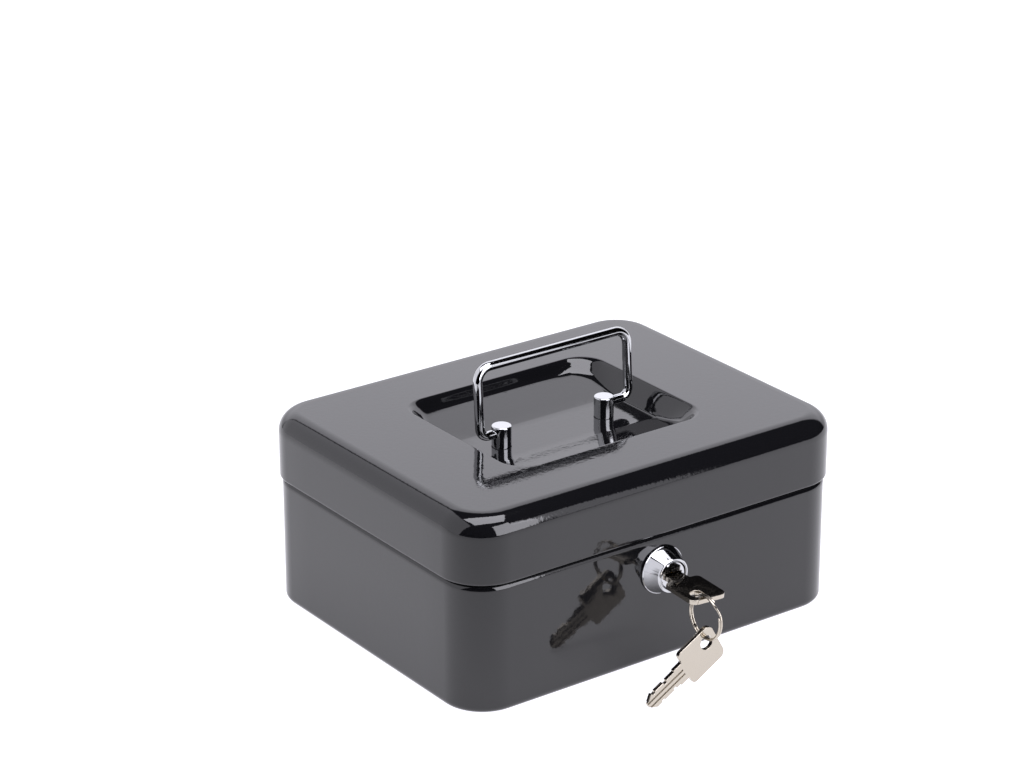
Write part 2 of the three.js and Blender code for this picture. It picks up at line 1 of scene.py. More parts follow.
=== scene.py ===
"""Small enamelled steel cash box: the visual pieces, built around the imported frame."""

import json
import math

import bmesh
import bpy
from mathutils import Matrix, Vector

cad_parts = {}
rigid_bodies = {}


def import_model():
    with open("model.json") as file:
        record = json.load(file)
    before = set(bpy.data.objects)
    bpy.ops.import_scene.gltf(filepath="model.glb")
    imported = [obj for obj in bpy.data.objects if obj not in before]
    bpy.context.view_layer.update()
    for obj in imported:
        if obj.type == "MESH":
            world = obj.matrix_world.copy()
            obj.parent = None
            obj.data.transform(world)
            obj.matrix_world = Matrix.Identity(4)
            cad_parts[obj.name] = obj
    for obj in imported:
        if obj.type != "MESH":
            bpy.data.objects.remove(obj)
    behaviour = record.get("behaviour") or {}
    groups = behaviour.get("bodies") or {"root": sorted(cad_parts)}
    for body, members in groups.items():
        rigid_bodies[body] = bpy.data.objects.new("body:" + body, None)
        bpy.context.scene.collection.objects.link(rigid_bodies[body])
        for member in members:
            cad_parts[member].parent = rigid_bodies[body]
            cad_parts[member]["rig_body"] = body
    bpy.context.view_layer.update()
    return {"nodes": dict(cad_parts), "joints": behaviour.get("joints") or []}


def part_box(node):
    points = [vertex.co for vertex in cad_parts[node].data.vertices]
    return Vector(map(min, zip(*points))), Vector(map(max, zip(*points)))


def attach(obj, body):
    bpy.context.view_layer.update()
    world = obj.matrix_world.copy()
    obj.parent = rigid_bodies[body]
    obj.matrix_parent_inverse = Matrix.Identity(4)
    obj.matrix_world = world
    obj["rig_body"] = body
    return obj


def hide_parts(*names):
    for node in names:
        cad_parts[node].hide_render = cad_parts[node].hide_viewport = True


bl_info = {
    "name": "Cash box",
    "version": (1, 0, 0),
    "blender": (4, 5, 0),
    "location": "View3D > Sidebar > Cash box",
    "description": "Builds a pressed steel cash box with its bail, lock, keys and coin tray",
    "category": "Object",
}

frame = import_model()

MM = 0.001
SMOOTH_ANGLE = math.radians(32)


def centre_of(node):
    low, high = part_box(node)
    return (low + high) / 2


LID_LOW, LID_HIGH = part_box("lid_shell")
CASE_LOW, CASE_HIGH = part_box("case_shell")


# ---- Sizes and colours that a user would change ----
def length(name, description, default):
    return bpy.props.FloatProperty(
        name=name, description=description, default=default, unit="LENGTH", precision=5
    )


def angle(name, description, degrees):
    return bpy.props.FloatProperty(
        name=name, description=description, default=math.radians(degrees), subtype="ANGLE"
    )


class CashBoxSizes(bpy.types.PropertyGroup):
    """Sizes of the pieces, in metres"""

    sheet: length("Sheet", "Steel sheet of case and lid", 1 * MM)
    lid_corner: length("Lid corner", "Vertical corner radius of the lid", 21 * MM)
    lid_fillet: length("Lid fillet", "Radius of the lid's top edge", 9.2 * MM)
    hem: length("Hem", "Height of the lid's folded edge", 6 * MM)
    case_corner: length("Case corner", "Vertical corner radius of the case", 19.8 * MM)
    case_fillet: length("Case fillet", "Radius of the case's bottom edge and shoulder", 3 * MM)
    shoulder: length("Shoulder", "Height of the case's shoulder", LID_LOW.z - 0.3 * MM)
    neck_inset: length("Neck inset", "Neck wall inside the case's outline", 2 * MM)
    recess_length: length("Recess length", "Sunk panel along X", 104 * MM)
    recess_width: length("Recess width", "Sunk panel along Y", 87.8 * MM)
    recess_depth: length("Recess depth", "Sunk panel's level strip below the lid top", 10 * MM)
    recess_corner: length("Recess corner", "Plan radius of the sunk panel", 13 * MM)
    foot_corner: length("Foot corner", "Plan radius at the foot of its walls", 17 * MM)
    recess_wall: angle("Recess wall", "Wall of the sunk panel, from level", 59)
    trough: length("Trough", "Width of the level strip", 30 * MM)
    floor_slope: angle("Floor slope", "Rise of the floor to front and back", 10.4)
    lip_round: length("Lip rounding", "Blend at the sunk panel's top edge", 1.5 * MM)
    foot_round: length("Foot rounding", "Blend at the foot of its walls", 1.7 * MM)
    wire: length("Bail wire", "Diameter of the bail's wire", 4.2 * MM)
    bail_bend: length("Bail bend", "Centre radius of the upper bends", 6.5 * MM)
    foot_bend: length("Foot bend", "Centre radius of the lower bends", 4.2 * MM)
    bail_lean: angle("Bail lean", "Angle that the bail stands back from upright", 3.9)
    key_thickness: length("Key plate", "Thickness of the keys", 2 * MM)
    ring_wire: length("Ring wire", "Diameter of the ring's wire", 1 * MM)


class CashBoxColours(bpy.types.PropertyGroup):
    """Finish colours as sRGB hex values"""

    enamel: bpy.props.StringProperty(
        name="Enamel", description="Stoved black enamel", default="#0d0d0f"
    )
    chrome: bpy.props.StringProperty(
        name="Chrome", description="Bright chrome plate", default="#b8b9bb"
    )
    zinc: bpy.props.StringProperty(
        name="Zinc", description="Clear zinc plate on steel", default="#b6b8ba"
    )
    nickel: bpy.props.StringProperty(
        name="Nickel", description="Nickel plate on the keys", default="#b0a99d"
    )
    brass: bpy.props.StringProperty(
        name="Brass", description="Bare brass of the wafers", default="#b8924e"
    )
    plastic: bpy.props.StringProperty(
        name="Tray plastic", description="Black moulded polystyrene", default="#29292b"
    )
    floor: bpy.props.StringProperty(
        name="Floor", description="Paper under the box, which also glows", default="#9a9a99"
    )
    light: bpy.props.StringProperty(
        name="Light", description="Studio light, slightly blue", default="#f8f7ff"
    )


# ---- Finishes ----
def linear(code):
    """An sRGB hex value as linear red, green, blue and alpha"""
    parts = [int(code[i : i + 2], 16) / 255 for i in (1, 3, 5)]
    return [p / 12.92 if p <= 0.04045 else ((p + 0.055) / 1.055) ** 2.4 for p in parts] + [1]


def add_node(tree, kind, settings, links=None):
    """Adds a node. Settings name its sockets or properties, and links give sockets their sources"""
    node = tree.nodes.new(kind)
    for key, value in settings.items():
        if isinstance(key, int) or key in node.inputs:
            node.inputs[key].default_value = value
        else:
            setattr(node, key, value)
    for key, source in (links or {}).items():
        tree.links.new(source, node.inputs[key])
    return node


def new_finish(name, **settings):
    """A material with a plain shader; returns it with its tree, shader and object coordinates"""
    material = bpy.data.materials.get(name)
    if material:
        bpy.data.materials.remove(material)
    material = bpy.data.materials.new(name)
    material.use_nodes = True
    tree = material.node_tree
    shader = tree.nodes["Principled BSDF"]
    for key, value in settings.items():
        shader.inputs[key.replace("_", " ")].default_value = value
    place = add_node(tree, "ShaderNodeTexCoord", {}).outputs["Object"]
    return material, tree, shader, place


def noise(tree, place, size, detail):
    """A 0 to 1 cloud pattern with features of about one size"""
    settings = {"Scale": 1 / size, "Detail": detail}
    return add_node(tree, "ShaderNodeTexNoise", settings, {"Vector": place}).outputs["Fac"]


def cells(tree, place, size):
    """A pattern of cells of about one size, by the distance from their middles"""
    settings = {"Scale": 1 / size}
    return add_node(tree, "ShaderNodeTexVoronoi", settings, {"Vector": place}).outputs["Distance"]


def roughen(tree, shader, source, low, high):
    """Spreads a 0 to 1 pattern over the roughness from low to high"""
    spread = add_node(
        tree, "ShaderNodeMapRange", {"To Min": low, "To Max": high}, {"Value": source}
    )
    tree.links.new(spread.outputs["Result"], shader.inputs["Roughness"])


def emboss(tree, shader, source, height, under=None):
    """Raises the surface by a 0 to 1 pattern, on top of another relief if one is given"""
    links = {"Height": source}
    if under:
        links["Normal"] = under
    bump = add_node(tree, "ShaderNodeBump", {"Strength": 1.0, "Distance": height}, links)
    tree.links.new(bump.outputs["Normal"], shader.inputs["Normal"])
    return bump.outputs["Normal"]


def stoved_enamel():
    """Black stoving enamel on sheet steel: a deep black under a hard gloss with orange peel"""
    colour = linear(bpy.context.scene.cash_box_colours.enamel)
    made, tree, shader, place = new_finish("stoved_black_enamel", Base_Color=colour, IOR=1.52)
    # orange peel about 2 mm across, 20 microns deep, so reflections waver at their edges
    peel = noise(tree, place, 2.0 * MM, 2.0)
    # dust nibs under the gloss, about 0.5 mm across
    nibs = noise(tree, place, 0.5 * MM, 1.0)
    waves = emboss(tree, shader, peel, 0.02 * MM)
    emboss(tree, shader, nibs, 0.001 * MM, waves)
    # hazier and clearer patches from handling, about 30 mm across
    handling = noise(tree, place, 30 * MM, 3.0)
    roughen(tree, shader, handling, 0.03, 0.07)
    return made


def bright_chrome():
    """Bright chrome plate on polished steel: a bright mirror with faint polishing marks"""
    colour = linear(bpy.context.scene.cash_box_colours.chrome)
    made, tree, shader, place = new_finish(
        "bright_chrome_plate", Base_Color=colour, Metallic=1.0
    )
    # polishing marks about 0.3 mm across, coarser than the real ones so that they show
    marks = noise(tree, place, 0.3 * MM, 4.0)
    roughen(tree, shader, marks, 0.03, 0.11)
    return made


def zinc_plate():
    """Clear zinc plate on stamped steel: satin grey with soft crystalline clouds"""
    colour = linear(bpy.context.scene.cash_box_colours.zinc)
    made, tree, shader, place = new_finish("zinc_plated_steel", Base_Color=colour, Metallic=1.0)
    # zinc spangle about 3 mm across
    clouds = cells(tree, place, 3 * MM)
    roughen(tree, shader, clouds, 0.26, 0.44)
    grain = noise(tree, place, 0.25 * MM, 3.0)
    emboss(tree, shader, grain, 0.003 * MM)
    return made


def tumbled_nickel(name, roughness):
    """Nickel plate on tumbled stampings and wire: warm silver with a fine frosted grain"""
    colour = linear(bpy.context.scene.cash_box_colours.nickel)
    made, tree, shader, place = new_finish(name, Base_Color=colour, Metallic=1.0)
    # tumbling marks about 0.4 mm long
    marks = noise(tree, place, 0.4 * MM, 5.0)
    roughen(tree, shader, marks, roughness * 0.6, roughness * 1.5)
    emboss(tree, shader, marks, 0.008 * MM)
    return made


def bare_brass():
    """Bare brass, stamped or cut: yellow metal, slightly dull, with fine tool lines"""
    colour = linear(bpy.context.scene.cash_box_colours.brass)
    made, tree, shader, place = new_finish("bare_cut_brass", Base_Color=colour, Metallic=1.0)
    # tool lines about 1.3 mm apart: one radian of the wave is 0.2 mm long, and the texture
    # goes through 20 radians in its unit length
    radians_per_unit = 20
    lines = add_node(
        tree,
        "ShaderNodeTexWave",
        {"Scale": 1 / (0.2 * MM) / radians_per_unit, "Distortion": 1.5},
        {"Vector": place},
    )
    roughen(tree, shader, lines.outputs["Fac"], 0.24, 0.42)
    return made


def moulded_polystyrene():
    """Black polystyrene from a spark-eroded mould: a soft sheen broken by a fine pebble grain"""
    colour = linear(bpy.context.scene.cash_box_colours.plastic)
    made, tree, shader, place = new_finish("moulded_polystyrene", Base_Color=colour, IOR=1.59)
    # spark grain about 0.6 mm across, coarser than the real one so that it shows
    grain = cells(tree, place, 0.6 * MM)
    emboss(tree, shader, grain, 0.03 * MM)
    roughen(tree, shader, grain, 0.38, 0.55)
    return made


FINISHES = {
    "black_enamel": stoved_enamel,
    "chrome": bright_chrome,
    "zinc_steel": zinc_plate,
    "nickel": lambda: tumbled_nickel("nickel_plated_key", 0.13),
    "ring_steel": lambda: tumbled_nickel("nickel_plated_wire", 0.16),
    "brass": bare_brass,
    "tray_plastic": moulded_polystyrene,
}
made_finishes = {}


def finish_for(slot):
    if slot not in made_finishes:
        made_finishes[slot] = FINISHES[slot]()
    return made_finishes[slot]


# ---- Mesh helpers ----
def piece_from(shape, name, body, slot, nodes):
    """Turns a bmesh into a smooth-shaded piece that rides on a body and stands for CAD nodes"""
    bmesh.ops.recalc_face_normals(shape, faces=shape.faces)
    mesh = bpy.data.meshes.new(name)
    shape.to_mesh(mesh)
    shape.free()
    mesh.shade_smooth()
    mesh.set_sharp_from_angle(angle=SMOOTH_ANGLE)
    piece = bpy.data.objects.new(name, mesh)
    bpy.context.scene.collection.objects.link(piece)
    mesh.materials.append(finish_for(slot))
    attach(piece, body)
    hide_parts(*nodes)
    return piece


def skin(shape, rings, caps=(True, True)):
    """Quads between rings of points, with flat caps on the first and the last ring"""
    layers = [[shape.verts.new(point) for point in ring] for ring in rings]
    count = len(layers[0])
    for near, far in zip(layers, layers[1:]):
        for i in range(count):
            j = (i + 1) % count
            shape.faces.new((near[i], near[j], far[j], far[i]))
    if caps[0]:
        shape.faces.new(layers[0][::-1])
    if caps[1]:
        shape.faces.new(layers[-1])
    return layers


def rounded_ring(half_x, half_y, radius, z, arc=14, side=8):
    """Points of a rounded rectangle at one height, the same number for any size"""
    corners = [(1, 1, 0), (-1, 1, 90), (-1, -1, 180), (1, -1, 270)]
    arcs = []
    for sign_x, sign_y, start in corners:
        middle = Vector((sign_x * (half_x - radius), sign_y * (half_y - radius), z))
        turns = [math.radians(start + 90 * i / arc) for i in range(arc + 1)]
        arcs.append([middle + radius * Vector((math.cos(t), math.sin(t), 0)) for t in turns])
    points = []
    for this, following in zip(arcs, arcs[1:] + arcs[:1]):
        points += this
        points += [this[-1].lerp(following[0], i / side) for i in range(1, side)]
    return points


def quarter(centre, radius, start, end, steps):
    """Points of an arc from one angle to another, in degrees"""
    turns = [math.radians(start + (end - start) * i / steps) for i in range(steps + 1)]
    return [(centre[0] + radius * math.cos(t), centre[1] + radius * math.sin(t)) for t in turns]


def turned(profile, place, sides):
    """A turned solid from points (radius, height); place puts (x, y, height) into the frame"""
    shape = bmesh.new()
    rings = []
    for radius, height in profile:
        turns = [2 * math.pi * i / sides for i in range(sides)]
        spots = [(radius * math.cos(t), radius * math.sin(t), height) for t in turns]
        rings.append([place(*spot) for spot in spots])
    skin(shape, rings)
    return shape


def tube(points, radius, sides):
    """A round wire along points, with slightly rounded ends"""
    shape = bmesh.new()
    rings = []
    start = (points[1] - points[0]).normalized()
    across = start.orthogonal().normalized()
    last = start
    for i, point in enumerate(points):
        before = points[max(i - 1, 0)]
        after = points[min(i + 1, len(points) - 1)]
        along = (after - before).normalized()
        across = last.rotation_difference(along) @ across
        across = (across - across.dot(along) * along).normalized()
        last = along
        other = along.cross(across)
        turns = [2 * math.pi * k / sides for k in range(sides)]
        rings.append([point + radius * (across * math.cos(t) + other * math.sin(t)) for t in turns])
    soft = 0.25  # of the radius, along the wire and across it
    for ring, point, way in ((rings[0], points[0], -1), (rings[-1], points[-1], 1)):
        direction = (points[1] - points[0]) if way < 0 else (points[-1] - points[-2])
        push = direction.normalized() * radius * soft * way
        cap = [point + push + (p - point) * (1 - soft) for p in ring]
        if way < 0:
            rings.insert(0, cap)
        else:
            rings.append(cap)
    skin(shape, rings)
    return shape


def block(shape, low, high):
    """Adds a plain box between two corners"""
    middle = (Vector(low) + Vector(high)) / 2
    size = Vector(high) - Vector(low)
    matrix = Matrix.Translation(middle) @ Matrix.Diagonal((*size, 1))
    bmesh.ops.create_cube(shape, size=1, matrix=matrix)


def carve(piece, cutter):
    """Cuts a closed bmesh out of a piece"""
    mesh = bpy.data.meshes.new("cutter")
    bmesh.ops.recalc_face_normals(cutter, faces=cutter.faces)
    cutter.to_mesh(mesh)
    cutter.free()
    tool = bpy.data.objects.new("cutter", mesh)
    bpy.context.scene.collection.objects.link(tool)
    modifier = piece.modifiers.new("cut", "BOOLEAN")
    modifier.operation = "DIFFERENCE"
    modifier.solver = "EXACT"
    modifier.object = tool
    settle(piece)
    bpy.data.objects.remove(tool)
    bpy.data.meshes.remove(mesh)


def settle(piece):
    """Applies a piece's modifiers to its mesh"""
    bpy.context.view_layer.update()
    graph = bpy.context.evaluated_depsgraph_get()
    mesh = bpy.data.meshes.new_from_object(piece.evaluated_get(graph), depsgraph=graph)
    piece.modifiers.clear()
    old = piece.data
    piece.data = mesh
    bpy.data.meshes.remove(old)
    mesh.shade_smooth()
    mesh.set_sharp_from_angle(angle=SMOOTH_ANGLE)


def soften(piece, width):
    """Rounds a piece's sharp edges"""
    modifier = piece.modifiers.new("edges", "BEVEL")
    modifier.width = width
    modifier.segments = 2
    modifier.limit_method = "ANGLE"
    modifier.angle_limit = SMOOTH_ANGLE
    modifier.harden_normals = True


def refined(node, slot, name, edge=0.15 * MM):
    """A copy of a CAD node with its flat faces joined up and its edges rounded"""
    shape = bmesh.new()
    source = frame["nodes"][node]
    shape.from_mesh(source.data)
    bmesh.ops.remove_doubles(shape, verts=shape.verts, dist=0.002 * MM)
    bmesh.ops.dissolve_limit(
        shape, angle_limit=math.radians(1), verts=shape.verts, edges=shape.edges
    )
    soften(piece_from(shape, name, source["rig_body"], slot, [node]), edge)


# ---- Shells ----
def build_case(sizes):
    half_x, half_y, top = CASE_HIGH
    fillet, corner, sheet = sizes.case_fillet, sizes.case_corner, sizes.sheet
    neck, shoulder = sizes.neck_inset, sizes.shoulder
    support = 0.4 * MM  # from a bend to the next ring, which keeps the flat beside it flat
    floor_inset = 30 * MM
    edge = sheet / 2
    inner = fillet - sheet
    # (inset, height) from the middle of the underside, up the outside and down the inside
    profile = [(floor_inset, 0), (fillet + support, 0)]
    profile += [(fillet - r, z) for r, z in quarter((0, fillet), fillet, -90, 0, 10)]
    profile += [(0, fillet + support), (0, shoulder - fillet - support)]
    rise = math.sqrt(fillet**2 - (fillet - neck) ** 2)
    stop = math.degrees(math.atan2(rise, fillet - neck))
    profile += [
        (fillet - r, z) for r, z in quarter((0, shoulder - fillet), fillet, 0, stop, 8)
    ]
    profile += [(neck, shoulder - fillet + rise + 0.1 * MM), (neck, top - edge - support)]
    profile += [(neck + edge - r, z) for r, z in quarter((0, top - edge), edge, 0, 180, 8)]
    # the wall steps in below the shoulder, a few tenths of a millimetre at a time
    low = shoulder - sheet
    profile += [(neck + sheet, top - edge - support), (neck + sheet, low)]
    profile += [(neck + 0.5 * sheet, low - 0.2 * MM), (sheet + 0.3 * MM, low - 0.6 * MM)]
    profile += [(sheet, low - 1.4 * MM), (sheet, fillet + support)]
    profile += [(fillet - r, z) for r, z in quarter((0, fillet), inner, 0, -90, 6)]
    profile += [(fillet + support, sheet), (floor_inset, sheet)]
    rings = [
        rounded_ring(half_x - inset, half_y - inset, max(corner - inset, MM), z)
        for inset, z in profile
    ]
    shape = bmesh.new()
    skin(shape, rings)
    piece_from(shape, "steel_case", "case", "black_enamel", ["case_shell"])


def soft_min(a, b, blend):
    near = max(blend - abs(a - b), 0) / blend
    return min(a, b) - near * near * blend / 4


def soft_max(a, b, blend):
    return -soft_min(-a, -b, blend)


def wall_depth(x, y, sizes):
    """
    How far down the sunk panel's wall is at a point. The wall is a stack of rounded rectangles
    that shrink from its lip (part 0) to its foot (part 1) while their corners open out, and it
    goes on at the same slope past both. The stack is searched for the one through the point.
    """
    run = sizes.recess_depth / math.tan(sizes.recess_wall)
    least, most = -3.0, 4.0
    halvings = 26
    for _ in range(halvings):
        part = (least + most) / 2
        corner = sizes.recess_corner + part * (sizes.foot_corner - sizes.recess_corner)
        corner = max(corner, MM)
        out_x = x - sizes.recess_length / 2 + run * part + corner
        out_y = y - sizes.recess_width / 2 + run * part + corner
        reach = math.hypot(max(out_x, 0), max(out_y, 0)) + min(max(out_x, out_y), 0)
        if reach > corner:
            most = part
        else:
            least = part
    return sizes.recess_depth * least


def panel_height(x, y, sizes, below):
    """Height of the sunk panel's top face, or of its underside if below is the sheet"""
    top = LID_HIGH.z
    wall = top - wall_depth(abs(x), abs(y), sizes) - below / math.cos(sizes.recess_wall)
    bend = 0.2 * MM
    climb = (abs(y) - sizes.trough / 2) * math.tan(sizes.floor_slope)
    floor = top - sizes.recess_depth + soft_max(0, climb, bend)
    floor -= below / math.cos(sizes.floor_slope)
    lip = sizes.lip_round - below / 2
    foot = sizes.foot_round + below / 2
    return soft_max(soft_min(top - below, wall, lip), floor, foot)


def build_lid(sizes):
    half_x, half_y, top = LID_HIGH
    rim, sheet = LID_LOW.z, sizes.sheet
    fillet, corner = sizes.lid_fillet, sizes.lid_corner
    support = 0.4 * MM
    inner = fillet - sheet
    hem = 2 * sheet
    # (inset, height) from the top, down the outside, round the hem and up the inside
    walls = [(fillet + support, top)]
    walls += [(fillet - r, z) for r, z in quarter((0, top - fillet), fillet, 90, 0, 18)]
    walls += [(0, top - fillet - support), (0, rim + sheet + support)]
    walls += [(sheet - r, z) for r, z in quarter((0, rim + sheet), sheet, 0, -180, 12)]
    walls += [(hem, rim + sizes.hem - 0.3 * MM), (hem - 0.3 * MM, rim + sizes.hem)]
    walls += [(sheet, rim + sizes.hem), (sheet, top - fillet - support)]
    walls += [(fillet - r, z) for r, z in quarter((0, top - fillet), inner, 0, 90, 12)]
    walls += [(fillet + support, top - sheet)]
    wall_rings = [
        rounded_ring(half_x - inset, half_y - inset, max(corner - inset, MM), z)
        for inset, z in walls
    ]
    # rings over the sunk panel, in millimetres inside its lip: close together on the wall and
    # its bends, and further apart on the floor
    first, step, count = -2.2, 0.3, 38
    insets = [(first + step * i) * MM for i in range(count)]
    insets += [inset * MM for inset in (10.5, 13, 17, 22, 28, 33)]

    def panel_rings(below):
        rings = []
        for inset in insets:
            flat = rounded_ring(
                sizes.recess_length / 2 - inset,
                sizes.recess_width / 2 - inset,
                max(sizes.recess_corner - inset, MM),
                0,
            )
            rings.append([Vector((p.x, p.y, panel_height(p.x, p.y, sizes, below))) for p in flat])
        return rings

    shape = bmesh.new()
    skin(shape, panel_rings(0)[::-1] + wall_rings + panel_rings(sheet))
    # the panel's bends run straight across it, so the faces are split along them
    reach_x, reach_y = sizes.recess_length / 2, sizes.recess_width / 2
    splits = (-0.3, 0, 0.3)  # millimetres from a bend's middle
    for side in (-1, 1):
        for offset in splits:
            panel = [
                f
                for f in shape.faces
                if all(abs(v.co.x) < reach_x and abs(v.co.y) < reach_y for v in f.verts)
            ]
            edges = list({e for f in panel for e in f.edges})
            verts = list({v for f in panel for v in f.verts})
            bmesh.ops.bisect_plane(
                shape,
                geom=panel + edges + verts,
                plane_co=(0, side * (sizes.trough / 2 + offset * MM), 0),
                plane_no=(0, 1, 0),
                dist=0.01 * MM,
            )
    for vert in shape.verts:
        x, y, z = vert.co
        if abs(x) < reach_x and abs(y) < reach_y:
            heights = [panel_height(x, y, sizes, below) for below in (0, sheet)]
            vert.co.z = min(heights, key=lambda height: abs(height - z))
    piece_from(shape, "steel_lid", "lid", "black_enamel", ["lid_shell"])


# ---- Bail ----
def joint_place(name):
    """Where a joint of the frame turns"""
    return next(joint for joint in frame["joints"] if joint["name"] == name)["pos_m"]


def build_posts(sizes):
    pivot = joint_place("bail_pivot")
    for side, outward in (("left", -1), ("right", 1)):
        node = f"handle_post_{side}"
        low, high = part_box(node)
        middle = centre_of(node)
        radius = (high.x - low.x) / 2
        foot = LID_HIGH.z - sizes.recess_depth
        shank = 2.5 * MM
        rivet = shank + 1.1 * MM  # the head under the panel
        seat = low.z + 1.5 * MM
        seam = 0.4 * MM  # undercut where the post stands on the panel
        edge = 0.6 * MM
        support = 0.3 * MM
        low_cap, high_cap = 0.4 * MM, 0.3 * MM
        profile = [(low_cap, low.z), (rivet - edge, low.z), (rivet, low.z + edge)]
        profile += [(rivet, seat), (shank, seat), (shank, foot)]
        profile += [(radius - seam, foot), (radius - seam, foot + seam), (radius, foot + seam)]
        profile += [(radius, high.z - edge - support)]
        profile += [
            (radius - edge + r, z) for r, z in quarter((0, high.z - edge), edge, 0, 90, 6)
        ]
        profile += [(radius - edge - support, high.z), (high_cap, high.z)]
        shape = turned(profile, lambda x, y, z: Vector((middle.x + x, middle.y + y, z)), 56)
        post = piece_from(shape, f"turned_post_{side}", "lid", "chrome", [node])
        # the wire's hole goes from 1 mm past the post's middle out through its side
        past = 1.0 * MM
        hole = sizes.wire / 2 + 0.25 * MM
        ends = (middle.x - outward * past, middle.x + outward * (radius + past))
        bore = turned(
            [(hole, end) for end in ends], lambda x, y, z: Vector((z, y, pivot[2] + x)), 32
        )
        carve(post, bore)


def build_bail(sizes):
    pivot = joint_place("bail_pivot")
    low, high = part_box("bail_handle")
    radius = sizes.wire / 2
    middle = (low.x + high.x) / 2
    half = (high.x - low.x) / 2 - radius
    lean = Matrix.Rotation(-sizes.bail_lean, 3, "X")
    rise = (high.z - pivot[2] - radius) / math.cos(sizes.bail_lean)
    left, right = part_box("handle_post_left"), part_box("handle_post_right")
    depth = 4.6 * MM  # of the wire's ends in the posts
    feet = [left[0].x + depth - middle, right[1].x - depth - middle]
    straight = 2 * MM
    bend, foot = sizes.bail_bend, sizes.foot_bend

    def arc(x, z, size, start, end, steps):
        return [(x + a, z + b) for a, b in quarter((0, 0), size, start, end, steps)]

    path = [(feet[0], 0), (feet[0] - straight, 0)]
    path += arc(foot - half, foot, foot, 270, 180, 12)
    path += [(-half, rise * f) for f in (0.3, 0.5, 0.7)]
    path += arc(bend - half, rise - bend, bend, 180, 90, 16)
    path += [(half * f, rise) for f in (-0.5, 0, 0.5)]
    path += arc(half - bend, rise - bend, bend, 90, 0, 16)
    path += [(half, rise * f) for f in (0.7, 0.5, 0.3)]
    path += arc(half - foot, foot, foot, 0, -90, 12)
    path += [(feet[1] + straight, 0), (feet[1], 0)]
    points = [Vector((middle, 0, pivot[2])) + lean @ Vector((x, 0, z)) for x, z in path]
    piece_from(tube(points, radius, 32), "wire_bail", "bail", "chrome", ["bail_handle"])


# ---- Lock ----
KEY_ROLL = Matrix.Rotation(math.radians(3.5), 4, "Y")  # of the keyway and the key in it
WAFERS = [f"wafer_{i}" for i in range(1, 5)]


def at_lock():
    """Turns (x, y, along) into the frame, with along as Y through the lock's axis"""
    middle = centre_of("lock_housing")
    return lambda x, y, along: Vector((middle.x + x, along, middle.z + y))


def build_housing(place):
    """The bezel in front of the wall and the threaded barrel behind it, as one ring"""
    low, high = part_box("lock_housing")
    rim = (high.x - low.x) / 2
    face_radius, bore, barrel = 7.9 * MM, 6.6 * MM, 9 * MM
    front, back = low.y, high.y
    seat = CASE_LOW.y - 0.3 * MM
    lip = 0.8 * MM
    groove_out, groove_in, groove_depth = 7.1 * MM, 6.85 * MM, 0.25 * MM
    profile = [(bore, back), (bore, front + 0.15 * MM), (bore + 0.1 * MM, front)]
    profile += [(groove_in, front), (groove_in, front + groove_depth)]
    profile += [(groove_out, front + groove_depth), (groove_out, front)]
    edge = 0.5 * MM
    profile += [
        (face_radius - edge + r, y) for r, y in quarter((0, front + edge), edge, -90, -25, 5)
    ]
    # the bezel's flank is a shallow hollow curve from the face down to the rim
    flank, hollow = 10, 0.08 * MM
    start, end = profile[-1], (rim - 0.35 * MM, seat - lip)
    for i in range(1, flank + 1):
        t = i / flank
        dip = hollow * math.sin(math.pi * t)
        radius = start[0] + (end[0] - start[0]) * t - dip
        profile.append((radius, start[1] + (end[1] - start[1]) * t))
    chamfer = 0.1 * MM
    profile += [(rim - chamfer, seat - lip + chamfer), (rim, seat - lip + 3 * chamfer)]
    profile += [(rim, seat - chamfer), (rim - chamfer, seat), (barrel, seat)]
    # thread of 1 mm pitch along the barrel behind the wall
    pitch, depth, chamfer = 1.0 * MM, 0.5 * MM, 0.3 * MM
    along = seat + 1.5 * MM
    while along < back - pitch:
        profile += [(barrel, along), (barrel - depth, along + pitch / 2)]
        along += pitch
    profile += [(barrel, along), (barrel, back - chamfer), (barrel - chamfer, back)]
    shape = bmesh.new()
    sides = 72
    turns = [2 * math.pi * i / sides for i in range(sides)]
    rings = [[place(r * math.cos(t), r * math.sin(t), y) for t in turns] for r, y in profile]
    layers = skin(shape, rings, (False, False))
    for i in range(sides):
        j = (i + 1) % sides
        shape.faces.new((layers[-1][i], layers[-1][j], layers[0][j], layers[0][i]))
    piece_from(shape, "lock_bezel_and_barrel", "case", "chrome", ["lock_housing"])
    return back


def build_core(place, back):
    """The turning core, with its keyway and the wafers' slots"""
    low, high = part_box("lock_plug")
    front = low.y
    radius, stud, cap = 6.3 * MM, 3.5 * MM, 0.3 * MM
    profile = [(cap, front), (radius - 0.7 * MM, front), (radius - 0.4 * MM, front)]
    profile += [(radius, front + 0.35 * MM), (radius, back), (stud, back), (stud, high.y)]
    profile += [(cap, high.y)]
    core = piece_from(turned(profile, place, 64), "lock_core", "plug", "chrome", ["lock_plug"])
    middle = centre_of("lock_housing")
    here = Matrix.Translation(middle) @ KEY_ROLL @ Matrix.Translation(-middle)
    keyway = bmesh.new()
    half_width, half_height, depth = 4.5 * MM, 1.7 * MM, 18.8 * MM
    block(
        keyway,
        (middle.x - half_width, front - MM, middle.z - half_height),
        (middle.x + half_width, front + depth, middle.z + half_height),
    )
    keyway.transform(here)
    carve(core, keyway)
    slots = bmesh.new()
    half_width, half_height, play = 5.6 * MM, 3.4 * MM, 0.3 * MM
    for wafer in WAFERS:
        wafer_low, wafer_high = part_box(wafer)
        block(
            slots,
            (middle.x - half_width, wafer_low.y - play, middle.z - half_height),
            (middle.x + half_width, wafer_high.y + play, middle.z + half_height),
        )
    slots.transform(here)
    carve(core, slots)


